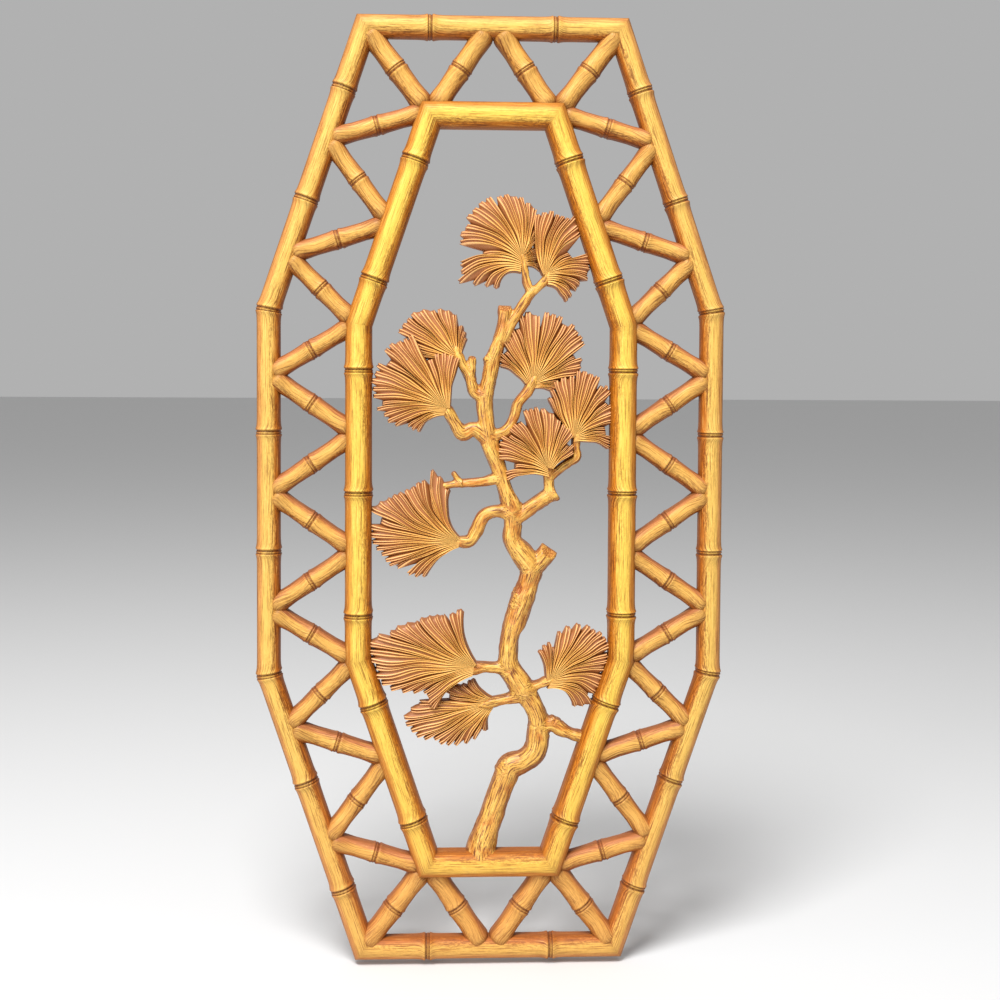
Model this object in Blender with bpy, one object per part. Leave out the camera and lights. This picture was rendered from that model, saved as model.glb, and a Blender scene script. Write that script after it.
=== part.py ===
"""Openwork wall plaque: a bamboo-pattern frame with a crooked little pine inside it, all moulded in one piece.

The plaque is drawn flat, with x to the right, y up and z out of its flat back, measured from its centre.
One empty then stands it upright with its front towards -Y and its origin at the back of the top rail.
"""

import math

import bmesh
import bpy
from mathutils import Matrix, Vector

MM = 0.001

# The long octagon, by its outer edge
HALF_HEIGHT = 285.75 * MM
HALF_WIDTH = 140.8 * MM
HALF_TOP = 81.5 * MM
HALF_SIDE = 111.2 * MM

# The band that holds both rails and the braces is a little narrower at the two ends
BAND = 68.9 * MM
END_BAND = 67.2 * MM
OUTER_WIDTH = 14.0 * MM
OUTER_DEPTH = 11.0 * MM
INNER_WIDTH = 16.0 * MM
INNER_DEPTH = 14.5 * MM
BRACE_WIDTH = 11.2 * MM
END_BRACE_WIDTH = 12.6 * MM
BRACE_DEPTH = 9.0 * MM

# A brace flares to a rounded foot sunk in the rail, and braces that share a knuckle stand off its centre
BRACE_SINK = 4.0 * MM
BRACE_FOOT = 4.5 * MM
FOOT_FLARE = 1.12
FOOT_END = 0.75
SPREAD = 4.3 * MM
END_SPREAD = 7.5 * MM
CORNER_SPREAD = 8.0 * MM
END_CORNER_SPREAD = 10.5 * MM

# Bamboo rings: two swollen lips with a groove between them
RING_LIP = 1.3 * MM
RING_SWELL = 1.075
RING_GROOVE = 0.985

# Where the rings sit, as shares of a side's length. A slant is measured from the plaque's narrow end
OUTER_RINGS = {"end": (0.255, 0.745), "slant": (0.22, 0.61), "side": (0.34, 0.666)}
INNER_RINGS = {"end": (), "slant": (0.215, 0.785), "side": (0.135, 0.5, 0.865)}

# Where the braces stand: their feet on the inner rail and their heads between those on the outer one
FEET = {"end": (0.0, 1.0), "slant": (0.0, 0.536, 1.0), "side": (0.0, 0.327, 0.673, 1.0)}
HEADS = {"end": (0.5,), "slant": (0.283, 0.803), "side": (0.156, 0.5, 0.844)}

# Facets round the front of a rail, a brace and a limb
RAIL_SEGMENTS = 5
BRACE_SEGMENTS = 3
LIMB_SEGMENTS = 4

# Extra stock behind the back plane, which the last cut takes off
STOCK = 2.0 * MM

# Two blind pockets for nail heads in the back of the top rail, with no point on their short axis
POCKET_SEGMENTS = 14
POCKET_WIDTH = 6.0 * MM
POCKET_LENGTH = 13.0 * MM
POCKET_DEPTH = 3.5 * MM
POCKET_OFFSET = 22.0 * MM

# The tree is drawn in millimetres about a point near the middle of an opening of this size
DRAWN_HALF_WIDTH = 71.8
DRAWN_HALF_HEIGHT = 218.3
DRAWN_MIDDLE = (-1.3, 3.1)

# A limb stands this high above the back, and higher by this share of its half width
LIMB_BASE = 5.0 * MM
LIMB_ROUNDNESS = 0.8

# A fan's needles stand this high, with a crown on top, grooves at the rim, and a step from layer to layer
NEEDLE_EDGE = 4.6 * MM
NEEDLE_CROWN = 2.2 * MM
NEEDLE_GROOVE = 1.5 * MM
LAYER = 2.0 * MM

# The trunk and its limbs: x, y and half width along each, from the root outwards
LIMBS = {
    "trunk": (
        (-3, -226, 11), (-3, -219, 9), (1, -206, 7.3), (5.5, -190, 6.8), (10, -177, 6.8), (13, -169, 7.6),
        (22, -166, 6.6), (29, -160, 7), (31, -151, 7), (30.5, -140, 5.8), (26, -130, 6.3), (20, -121, 7.5),
        (13, -109, 6.2), (12.5, -100, 5.6), (13.5, -91, 5.7), (17, -80, 6.6), (21, -68, 7.2), (24.5, -58, 6.2),
        (26.5, -49, 7), (21.5, -41, 7), (15.5, -32, 5.6), (15.5, -22, 5.3), (14, -12, 6.2), (10.5, -3, 4.6),
        (7, 9, 4.6), (3, 20, 5.2), (0, 29, 5.4), (-2, 42, 4.7), (-2.5, 54, 5), (0.5, 68, 4.3), (2, 77, 4.8),
        (6, 85, 3.8), (9, 98, 3.8), (10, 108, 4.2),
    ),
    "knot_stub": ((26, -50, 6.4), (33, -43, 5.6), (37.5, -37, 5.6)),
    "crown_twig": ((10, 92, 4.2), (17, 103, 4.4), (22, 110, 4), (27, 117, 4.2), (30, 121, 3.4)),
    "crown_left_stem": ((27, 118, 2.6), (25, 126, 2.1), (22.5, 134, 2), (21.5, 141, 1.6)),
    "crown_right_stem": ((27, 119, 2.8), (33, 123.5, 2.4), (37.5, 129.5, 2)),
    "shoulder_left_limb": ((-3, 56, 4), (-9, 58, 3.6), (-12, 68, 3.2), (-16, 74, 2.8), (-18.5, 80.5, 2.2)),
    "shoulder_spur": ((-11, 66, 2.6), (-10, 79, 2)),
    "upper_left_limb": ((-2, 30, 4.5), (-9, 35.5, 4.2), (-16, 33, 4.6), (-21, 39, 3.4), (-25, 48, 2.4)),
    "upper_right_limb": ((1, 31, 3.6), (10, 34, 3.4), (15, 42, 2.9), (17.5, 51, 3), (23, 58, 3), (27, 63.5, 2.4)),
    "thin_left_twig": ((6, 6, 3.4), (-3, 3.5, 2.7), (-15, 2.5, 2.6), (-28, 1, 1.8)),
    "thin_left_spur": ((-17, 2.5, 2), (-22, 9, 1.4)),
    "middle_left_limb": (
        (15, -16, 4.6), (5, -14.5, 3.8), (-3, -17.5, 4), (-7, -26, 3.9), (-11, -32.5, 3.8), (-18, -33, 3),
    ),
    "middle_right_limb": ((15, -20, 4.8), (25, -12.5, 4.3), (35, -6, 4.6), (41, -3, 4.6)),
    "middle_right_stem": ((37, -6, 3.6), (36.5, 3, 2.9), (35.5, 12.5, 2.2)),
    "far_right_stem": ((37, 6, 2.6), (45, 13, 2.4), (53, 18.5, 2.6), (52.5, 24, 2), (54.5, 31, 2)),
    "lower_left_limb": ((13, -110.5, 4.6), (1, -109.5, 3.8), (-8, -109, 3.2)),
    "lowest_left_limb": ((24, -126, 5), (13, -129, 3.8), (4, -131, 2.8)),
    "lower_right_limb": ((23, -123, 4.2), (32, -120.5, 2.9), (39, -117.5, 2.2)),
    "right_stay": ((31, -145, 4.6), (39, -144.5, 4.4), (45, -147, 3.9), (51, -150, 2.9), (63, -153, 2.9)),
}

# The needle fans. Each has a hub, a layer, the directions in which its outermost needles leave the hub,
# and its tufts: direction of the first and last tip in degrees, their lengths in millimetres, the number
# of carved ribs, and how much of its length is left in the notch before it
FANS = {
    "crown_left": ((19.8, 139.2), 0, (80, 196), (
        (78, 97, 29, 37, 3, 1), (101, 116, 38, 37, 3, 0.9), (122, 137, 40, 41, 3, 0.86),
        (144, 166, 39, 39, 4, 0.93), (173, 178, 31, 30, 1, 0.88), (188, 198, 36, 40, 2, 0.66),
        (206, 227, 42, 24, 3, 0.88))),
    "crown_right": ((34.3, 128.5), 1, (-28, 114), (
        (-50, -38, 19, 19, 2, 1), (-16, 2, 21, 26, 2, 0.68), (8, 29, 27, 26, 3, 0.9),
        (54, 72, 33, 38, 3, 0.64), (78, 98, 38, 37, 4, 0.93))),
    "upper_right": ((26.3, 63.5), 0, (-12, 142), (
        (-20, -4, 13, 19, 2, 1), (12, 27, 27, 33, 3, 0.84), (38, 55, 39, 42, 3, 0.9),
        (67, 78, 43, 42, 3, 0.93), (86, 97, 40, 39, 3, 0.82), (112, 124, 34, 33, 2, 0.86),
        (139, 151, 28, 22, 2, 0.86))),
    "far_right": ((52, 31.5), 1, (-4, 132), (
        (-18, -2, 22, 22, 2, 1), (22, 40, 24, 30, 2, 0.86), (52, 62, 34, 35, 2, 0.9),
        (69, 87, 38, 39, 4, 0.88), (93, 110, 36, 35, 3, 0.92), (117, 124, 31, 27, 2, 0.88))),
    "middle_right": ((35.1, 12.7), 2, (34, 182), (
        (30, 40, 18, 20, 2, 1), (53, 69, 25, 28, 3, 0.88), (76, 95, 29, 35, 4, 0.94),
        (101, 111, 36, 36, 2, 0.94), (122, 134, 31, 32, 2, 0.86), (146, 168, 33, 30, 4, 0.9),
        (188, 196, 25, 25, 2, 0.76))),
    "shoulder_left": ((-19, 78.9), 0, (72, 168), (
        (68, 86, 12, 19, 2, 1), (95, 112, 25, 30, 3, 0.94), (119, 137, 31, 37, 4, 0.93),
        (143, 156, 37, 38, 3, 0.94))),
    "upper_left": ((-26.1, 48.2), 2, (84, 196), (
        (77, 100, 31, 33, 4, 1), (117, 136, 46, 48, 4, 0.92), (148, 171, 48, 44, 5, 0.9),
        (181, 199, 41, 32, 4, 0.92), (205, 219, 25, 22, 2, 0.88))),
    "middle_left": ((-17.3, -32.2), 1, (138, 206), (
        (107, 113, 34, 47, 2, 1), (122, 138, 42, 44, 4, 0.9), (142, 160, 46, 56, 5, 0.95),
        (171, 190, 55, 48, 4, 0.82), (195, 203, 46, 42, 2, 0.94), (213, 224, 37, 31, 3, 0.78))),
    "lower_left": ((-8.5, -107.8), 2, (122, 212), (
        (106, 115, 34, 33, 2, 1), (123, 140, 35, 42, 4, 0.84), (144, 159, 43, 54, 4, 0.94),
        (163, 168, 61, 66, 2, 0.95), (172, 191, 64, 57, 5, 0.92), (196, 207, 54, 44, 3, 0.94),
        (215, 224, 37, 37, 3, 0.86))),
    "lowest_left": ((3.2, -130.5), 0, (148, 244), (
        (135, 143, 18, 19, 2, 1), (153, 166, 21, 30, 2, 0.9), (181, 190, 44, 53, 2, 0.86),
        (195, 209, 54, 47, 3, 0.94), (213, 224, 42, 38, 3, 0.95), (229, 237, 35, 30, 2, 0.94),
        (243, 254, 26, 19, 3, 0.9))),
    "lower_right": ((38.5, -117.2), 1, (-8, 100), (
        (-46, -29, 22, 29, 3, 1), (-16, 2, 28, 31, 3, 0.86), (13, 24, 33, 38, 2, 0.93),
        (31, 54, 42, 39, 4, 0.94), (63, 81, 38, 31, 4, 0.92), (92, 110, 24, 21, 2, 0.88))),
}

# A fan's outline drops to this share of its length between two needles of a tuft
NOTCH = 0.955

# The fan's rows from hub to rim: share of a needle's length, and share of the crown's height there
FAN_ROWS = ((0.0, 0.6), (0.5, 1.0), (1.0, 0.3))

# A face that is bent by more than this angle is split, so every face is flat
FLATNESS = 0.001

# Points nearer than this are one point
WELD = 0.01 * MM


def clear_scene():
    for obj in list(bpy.data.objects):
        bpy.data.objects.remove(obj, do_unlink=True)


def collection(name):
    made = bpy.data.collections.new(name)
    bpy.context.scene.collection.children.link(made)
    return made


def finish_mesh(bm, name, home, stand):
    """Turns a bmesh into an object that stands upright with the plaque."""
    bmesh.ops.connect_verts_nonplanar(bm, angle_limit=FLATNESS, faces=bm.faces)
    bmesh.ops.recalc_face_normals(bm, faces=bm.faces)
    mesh = bpy.data.meshes.new(name)
    bm.to_mesh(mesh)
    bm.free()
    obj = bpy.data.objects.new(name, mesh)
    home.objects.link(obj)
    obj.parent = stand
    return obj


# Octagons and what is measured along their sides

SIDE_KINDS = ("end", "slant", "side", "slant", "end", "slant", "side", "slant")
TOWARDS_END = (False, False, False, True, False, False, False, True)
SIDE_CORNERS = (2, 3, 6, 7)
BANDS = [END_BAND if kind == "end" else BAND for kind in SIDE_KINDS]


def octagon():
    """The outer edge's corners, clockwise from the top left."""
    right = [(HALF_TOP, HALF_HEIGHT), (HALF_WIDTH, HALF_SIDE), (HALF_WIDTH, -HALF_SIDE), (HALF_TOP, -HALF_HEIGHT)]
    left = [(-x, y) for x, y in reversed(right)]
    return [Vector(p) for p in left[-1:] + right + left[:-1]]


def following(items, i):
    return items[(i + 1) % len(items)]


def side_directions(corners):
    return [(following(corners, i) - p).normalized() for i, p in enumerate(corners)]


def inward(direction):
    return Vector((direction.y, -direction.x))


def inset(corners, distances):
    """The octagon whose sides lie inside the given one, each by its own distance."""
    ways = side_directions(corners)
    made = []
    for i, corner in enumerate(corners):
        before, after = ways[i - 1], ways[i]
        # The new corner lies on both moved sides, so its offset solves two linear conditions
        matrix = Matrix((inward(before), inward(after)))
        made.append(corner + matrix.inverted() @ Vector((distances[i - 1], distances[i])))
    return made


def side_point(corners, i, share):
    """A point on a side, at a share of its length measured from the narrow end of the plaque."""
    if TOWARDS_END[i]:
        share = 1 - share
    return corners[i].lerp(following(corners, i), share)


OUTLINE = octagon()
OUTER_EDGE_INSIDE = inset(OUTLINE, [OUTER_WIDTH] * 8)
INNER_EDGE_OUTSIDE = inset(OUTLINE, [band - INNER_WIDTH for band in BANDS])
OPENING = inset(OUTLINE, BANDS)


# Sweeps: one closed section carried along a line


def section(half_width, depth, segments):
    """A half-round bar on straight sides: points from the left foot over the top to the right foot."""
    radius = min(half_width, depth)
    shoulder = depth - radius
    points = [(-half_width, -STOCK)]
    for i in range(segments + 1):
        angle = math.pi * (1 - i / segments)
        points.append((half_width * math.cos(angle), shoulder + radius * math.sin(angle)))
    points.append((half_width, -STOCK))
    return points


def sweep(stations, closed):
    """Skins a row of sections. A station is a centre, the way across it and its section's points."""
    bm = bmesh.new()
    loops = []
    for centre, across, points in stations:
        verts = []
        for u, w in points:
            spot = centre + across * u
            verts.append(bm.verts.new((spot.x, spot.y, w)))
        loops.append([bm.edges.new((v, verts[i - 1])) for i, v in enumerate(verts)])
    for first, second in zip(loops, loops[1:]):
        bmesh.ops.bridge_loops(bm, edges=first + second)
    if closed:
        bmesh.ops.bridge_loops(bm, edges=loops[-1] + loops[0])
    else:
        bmesh.ops.edgeloop_fill(bm, edges=loops[0])
        bmesh.ops.edgeloop_fill(bm, edges=loops[-1])
    return bm


def ring_profile():
    """A bamboo ring as offsets along the culm and the section's size there."""
    return (-RING_LIP, RING_SWELL), (0.0, RING_GROOVE), (RING_LIP, RING_SWELL)


def rail(name, outer_edge, inner_edge, depth, rings, ringed_corners, home, stand):
    """A closed bamboo rail between two octagons, thinnest half way between its rings."""
    corners = [(p + q) / 2 for p, q in zip(outer_edge, inner_edge)]
    ways = side_directions(corners)
    stations = []

    def add(centre, across, half_width, size):
        stations.append((centre, across, section(size * half_width, size * depth, RAIL_SEGMENTS)))

    for i, corner in enumerate(corners):
        way = ways[i]
        half_width = abs((inner_edge[i] - outer_edge[i]).dot(inward(way))) / 2
        length = (following(corners, i) - corner).length
        miter = (inner_edge[i] - outer_edge[i]) / 2
        if i in ringed_corners:
            for offset, size in ring_profile():
                side = way if offset > 0 else ways[i - 1]
                add(corner + side * offset, miter.normalized(), miter.length, size)
        else:
            add(corner, miter.normalized(), miter.length, 1.0)

        stops = sorted(length * (1 - s if TOWARDS_END[i] else s) for s in rings[SIDE_KINDS[i]])
        ringed = [0.0] * (i in ringed_corners) + stops + [length] * ((i + 1) % 8 in ringed_corners)
        middles = [(a + b) / 2 for a, b in zip(ringed, ringed[1:])]
        for along in sorted(stops + middles):
            for offset, size in ring_profile() if along in stops else ((0.0, 1.0),):
                add(corner + way * (along + offset), inward(way), half_width, size)
    return finish_mesh(sweep(stations, True), name, home, stand)


# Braces between the rails


def foot_spread(kind, share):
    """How far a brace's foot stands from its knuckle, more where three braces share a corner of the inner rail."""
    if kind == "end":
        return END_CORNER_SPREAD
    return CORNER_SPREAD if kind == "slant" and share == 0.0 else SPREAD


def braces():
    """Every brace as a width and two points: its head on the outer rail and its foot on the inner one."""
    ways = side_directions(OUTLINE)
    made = []
    for i, kind in enumerate(SIDE_KINDS):
        width = END_BRACE_WIDTH if kind == "end" else BRACE_WIDTH
        head_spread = END_SPREAD if kind == "end" else SPREAD
        for k, head_share in enumerate(HEADS[kind]):
            level = side_point(INNER_EDGE_OUTSIDE, i, head_share) - OUTER_EDGE_INSIDE[i]
            head = OUTER_EDGE_INSIDE[i] + ways[i] * level.dot(ways[i])
            for foot_share in FEET[kind][k:k + 2]:
                foot = side_point(INNER_EDGE_OUTSIDE, i, foot_share)
                turn = math.copysign(1, (head - foot).dot(ways[i]))
                foot += ways[i] * turn * foot_spread(kind, foot_share)
                made.append((width, head - ways[i] * turn * head_spread, foot))
        if i not in SIDE_CORNERS:
            made.append((END_BRACE_WIDTH, OUTER_EDGE_INSIDE[i], INNER_EDGE_OUTSIDE[i]))
    return made


def brace(index, width, head, foot, home, stand):
    way = (foot - head).normalized()
    start = head - way * BRACE_SINK
    length = (foot - head).length + 2 * BRACE_SINK
    ring = [(length / 2 + offset, size) for offset, size in ring_profile()]
    rows = [(0.0, FOOT_END), (BRACE_FOOT, FOOT_FLARE), *ring, (length - BRACE_FOOT, FOOT_FLARE), (length, FOOT_END)]
    stations = [
        (start + way * along, inward(way), section(size * width / 2, size * BRACE_DEPTH, BRACE_SEGMENTS))
        for along, size in rows
    ]
    return finish_mesh(sweep(stations, False), f"brace_{index:02d}", home, stand)


# The tree

X_SCALE = OPENING[2].x / DRAWN_HALF_WIDTH
Y_SCALE = OPENING[0].y / DRAWN_HALF_HEIGHT


def drawn(x, y):
    return Vector(((x + DRAWN_MIDDLE[0]) * X_SCALE, (y + DRAWN_MIDDLE[1]) * Y_SCALE))


def limb(name, points, home, stand):
    """A limb as a half-round bar whose width changes from point to point."""
    centres = [drawn(x, y) for x, y, _ in points]
    stations = []
    for i, (centre, point) in enumerate(zip(centres, points)):
        before, after = centres[max(i - 1, 0)], centres[min(i + 1, len(centres) - 1)]
        across = inward((after - before).normalized())
        half = point[2] * X_SCALE
        stations.append((centre, across, section(half, LIMB_BASE + LIMB_ROUNDNESS * half, LIMB_SEGMENTS)))
    return finish_mesh(sweep(stations, False), name, home, stand)


def fan_columns(roots, tufts):
    """The fan's lines from hub to rim, in order: root direction, tip direction, length, and 1 on a rib or 0."""
    lines = []
    for first, last, long_first, long_last, ribs, notch in tufts:
        if lines:
            angle, length, _ = lines[-1]
            lines.append(((angle + first) / 2, notch * min(length, long_first), 0))
        for k in range(ribs):
            share = k / (ribs - 1) if ribs > 1 else 0.5
            angle = first + (last - first) * share
            length = long_first + (long_last - long_first) * share
            if k:
                lines.append(((lines[-1][0] + angle) / 2, NOTCH * length, 0))
            lines.append((angle, length, 1))
    spans = len(lines) - 1
    return [(roots[0] + (roots[1] - roots[0]) * i / spans, *line) for i, line in enumerate(lines)]


def fan(name, hub, layer, roots, tufts, home, stand):
    """A spray of needles: a grid bent round its hub, grooved between the ribs, on a flat foot."""
    columns = fan_columns(roots, tufts)
    rows = len(FAN_ROWS)
    bm = bmesh.new()
    grid = bmesh.ops.create_grid(bm, x_segments=len(columns) - 1, y_segments=rows - 1, size=1.0)
    centre = drawn(*hub)
    for vert in grid["verts"]:
        column = round((vert.co.x + 1) / 2 * (len(columns) - 1))
        row = round((vert.co.y + 1) / 2 * (rows - 1))
        root, tip, length, rib = columns[column]
        share, crown = FAN_ROWS[row]
        angle = math.radians(root + (tip - root) * share)
        reach = length * share
        rise = NEEDLE_EDGE + layer * LAYER + NEEDLE_CROWN * crown
        if not rib:
            rise -= NEEDLE_GROOVE * share
        vert.co = (
            centre.x + reach * math.cos(angle) * X_SCALE,
            centre.y + reach * math.sin(angle) * Y_SCALE,
            rise,
        )
    bmesh.ops.remove_doubles(bm, verts=bm.verts, dist=WELD)
    rim = [edge for edge in bm.edges if edge.is_boundary]
    skirt = bmesh.ops.extrude_edge_only(bm, edges=rim)["geom"]
    for vert in [item for item in skirt if isinstance(item, bmesh.types.BMVert)]:
        vert.co.z = -STOCK
    foot = [item for item in skirt if isinstance(item, bmesh.types.BMEdge)]
    bmesh.ops.edgeloop_fill(bm, edges=foot)
    return finish_mesh(bm, name, home, stand)


# The back


def back_cutter(home, stand):
    """A slab that fills the space behind the back plane."""
    bm = bmesh.new()
    bmesh.ops.create_cube(bm, size=1.0)
    width, height, depth = 2 * (HALF_WIDTH + OUTER_WIDTH), 2 * (HALF_HEIGHT + OUTER_WIDTH), 3 * STOCK
    bmesh.ops.scale(bm, vec=(width, height, depth), verts=bm.verts)
    bmesh.ops.translate(bm, vec=(0, 0, -depth / 2), verts=bm.verts)
    return finish_mesh(bm, "back_cutter", home, stand)


def pocket_cutter(name, x, home, stand):
    """A round-ended slot, sunk from behind into the top rail."""
    bm = bmesh.new()
    radius = POCKET_WIDTH / 2
    straight = POCKET_LENGTH / 2 - radius
    height = POCKET_DEPTH + 2 * STOCK
    bmesh.ops.create_cone(
        bm, cap_ends=True, segments=POCKET_SEGMENTS, radius1=radius, radius2=radius, depth=height
    )
    for vert in bm.verts:
        vert.co.x += math.copysign(straight, vert.co.x)
    bmesh.ops.translate(bm, verts=bm.verts, vec=(x, HALF_HEIGHT - OUTER_WIDTH / 2, POCKET_DEPTH - height / 2))
    return finish_mesh(bm, name, home, stand)


def painted_plastic():
    material = bpy.data.materials.new("wood_tone_plastic")
    material.use_nodes = True
    shader = material.node_tree.nodes["Principled BSDF"]
    shader.inputs["Base Color"].default_value = (0.55, 0.27, 0.07, 1)
    shader.inputs["Roughness"].default_value = 0.45
    shader.inputs["Metallic"].default_value = 0.0
    return material


def add_boolean(obj, name, operation, group):
    modifier = obj.modifiers.new(name, "BOOLEAN")
    modifier.operation = operation
    modifier.solver = "EXACT"
    modifier.operand_type = "COLLECTION"
    modifier.collection = group


def main():
    clear_scene()
    home = collection("wall_plaque")
    joined = collection("joined_shapes")
    cutters = collection("cutters")
    stand = bpy.data.objects.new("upright", None)
    home.objects.link(stand)
    stand.rotation_euler = (math.pi / 2, 0, 0)
    stand.location = (0, 0, OUTER_WIDTH / 2 - HALF_HEIGHT)

    plaque = rail("plaque", OUTLINE, OUTER_EDGE_INSIDE, OUTER_DEPTH, OUTER_RINGS, SIDE_CORNERS, home, stand)
    rail("inner_rail", INNER_EDGE_OUTSIDE, OPENING, INNER_DEPTH, INNER_RINGS, (), joined, stand)
    for index, (width, head, foot) in enumerate(braces()):
        brace(index, width, head, foot, joined, stand)
    for name, points in LIMBS.items():
        limb(name, points, joined, stand)
    for name, (hub, layer, roots, tufts) in FANS.items():
        fan(f"{name}_fan", hub, layer, roots, tufts, joined, stand)

    back_cutter(cutters, stand)
    for name, x in (("left_pocket", -POCKET_OFFSET), ("right_pocket", POCKET_OFFSET)):
        pocket_cutter(name, x, cutters, stand)
    for helper in (*joined.objects, *cutters.objects):
        helper.hide_render = True
        helper.display_type = "WIRE"
    add_boolean(plaque, "one_moulding", "UNION", joined)
    add_boolean(plaque, "flat_back", "DIFFERENCE", cutters)
    plaque.data.materials.append(painted_plastic())


main()
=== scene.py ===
import math

import bmesh
import bpy
from mathutils import Matrix, Vector, kdtree, noise


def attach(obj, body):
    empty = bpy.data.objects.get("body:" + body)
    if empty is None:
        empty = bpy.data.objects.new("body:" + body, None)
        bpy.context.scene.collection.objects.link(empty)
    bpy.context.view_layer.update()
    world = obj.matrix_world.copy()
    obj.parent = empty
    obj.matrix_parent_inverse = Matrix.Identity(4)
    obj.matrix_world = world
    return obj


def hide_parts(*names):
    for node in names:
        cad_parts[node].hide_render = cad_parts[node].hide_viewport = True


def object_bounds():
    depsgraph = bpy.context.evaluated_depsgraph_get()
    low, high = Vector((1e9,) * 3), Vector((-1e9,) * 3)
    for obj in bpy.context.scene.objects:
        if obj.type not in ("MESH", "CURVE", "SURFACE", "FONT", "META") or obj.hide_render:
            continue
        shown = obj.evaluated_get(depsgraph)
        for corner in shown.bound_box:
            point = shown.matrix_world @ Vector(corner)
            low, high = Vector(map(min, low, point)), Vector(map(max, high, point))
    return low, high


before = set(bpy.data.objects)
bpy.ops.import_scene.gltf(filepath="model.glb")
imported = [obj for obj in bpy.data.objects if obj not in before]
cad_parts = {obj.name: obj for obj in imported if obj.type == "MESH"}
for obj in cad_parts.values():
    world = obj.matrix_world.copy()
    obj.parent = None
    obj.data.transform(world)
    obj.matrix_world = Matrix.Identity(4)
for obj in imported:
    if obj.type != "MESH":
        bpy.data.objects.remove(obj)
cad_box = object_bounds()


# Outer rail
# A closed bamboo rail round a long octagon, half-round in front and flat behind, with swollen rings and mitred
# corners. It is moulded with the whole plaque in honey-coloured plastic, then glazed brown and rubbed back. Its
# paint also carries a painted highlight along the crown, painted shade (partly glaze) on the inner flank, and
# painted shade along the edges.

MM = 0.001
WELD, SHARP_ANGLE, TINY = 0.005 * MM, 0.7, 1e-9
HALF_HEIGHT, HALF_WIDTH, HALF_TOP, HALF_SIDE = 285.75 * MM, 140.8 * MM, 81.5 * MM, 111.2 * MM
OUTER_WIDTH, OUTER_DEPTH = 14.0 * MM, 11.0 * MM
SIDE_KINDS = ("end", "slant", "side", "slant", "end", "slant", "side", "slant")
TOWARDS_END = (False, False, False, True, False, False, False, True)
OUTER_RINGS = {"end": (0.255, 0.745), "slant": (0.22, 0.61), "side": (0.34, 0.666)}
SIDE_CORNERS = (2, 3, 6, 7)
RAIL_STEP, MITRE_REACH, CORNER_REACH = 3.5 * MM, 12 * MM, 7 * MM
MITRE_GLAZE, CORNER_GLAZE = 0.3, 0.2
LANE_SHIFT = 0.137

# A ring by distance from its middle in millimetres, how much it swells the culm, and how dark the glaze lies there
RING = (
    (-9.0, 0.0, 0.0), (-6.5, 0.008, 0.03), (-4.6, 0.022, 0.06), (-3.3, 0.045, 0.1), (-2.5, 0.08, 0.0),
    (-2.0, 0.1, 0.0), (-1.65, 0.085, 0.2), (-1.4, 0.04, 0.9), (-1.0, 0.03, 0.9), (-0.75, 0.06, 0.4),
    (-0.35, 0.065, 0.3), (-0.1, 0.04, 0.6), (0.3, 0.015, 1.0), (0.9, 0.015, 1.0), (1.25, 0.08, 0.4),
    (1.8, 0.105, 0.0), (2.4, 0.085, 0.0), (3.3, 0.05, 0.1), (4.6, 0.024, 0.1), (6.5, 0.008, 0.05), (9.0, 0.0, 0.0),
)


def standing(x, y, depth):
    """A point drawn flat from the plaque's middle, set upright with its back on the wall plane."""
    return Vector((x, -depth, y + OUTER_WIDTH / 2 - HALF_HEIGHT))


def following(items, i):
    return items[(i + 1) % len(items)]


def side_directions(corners):
    return [(following(corners, i) - p).normalized() for i, p in enumerate(corners)]


def inward(direction):
    return Vector((direction.y, -direction.x))


def inset(corners, distances):
    """The octagon whose sides lie inside the given one, each by its own distance."""
    ways = side_directions(corners)
    made = []
    for i, corner in enumerate(corners):
        matrix = Matrix((inward(ways[i - 1]), inward(ways[i])))
        made.append(corner + matrix.inverted() @ Vector((distances[i - 1], distances[i])))
    return made


right_corners = [
    (HALF_TOP, HALF_HEIGHT), (HALF_WIDTH, HALF_SIDE), (HALF_WIDTH, -HALF_SIDE), (HALF_TOP, -HALF_HEIGHT),
]
left_corners = [(-x, y) for x, y in reversed(right_corners)]
outline = [Vector(p) for p in left_corners[-1:] + right_corners + left_corners[:-1]]
outer_edge_inside = inset(outline, [OUTER_WIDTH] * len(outline))


def bar_section(half_width, depth, wall=4, arc=24, back=3):
    """A half-round bar's section from its left foot over the front and along the back: across, depth and girth."""
    radius = min(half_width, depth)
    shoulder = depth - radius
    points = [(-half_width, shoulder * i / wall, shoulder * i / wall) for i in range(wall)]
    for i in range(arc + 1):
        turn = math.pi * i / arc
        points.append((-half_width * math.cos(turn), shoulder + radius * math.sin(turn), shoulder + radius * turn))
    girth = 2 * shoulder + math.pi * radius
    for i in range(1, wall + 1):
        level = shoulder * (1 - i / wall)
        points.append((half_width, level, girth - level))
    for i in range(1, back + 1):
        done = 2 * half_width * i / back
        points.append((half_width - done, 0.0, girth + done))
    return points


def float_layer(bm, name):
    return bm.verts.layers.float.get(name) or bm.verts.layers.float.new(name)


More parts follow.
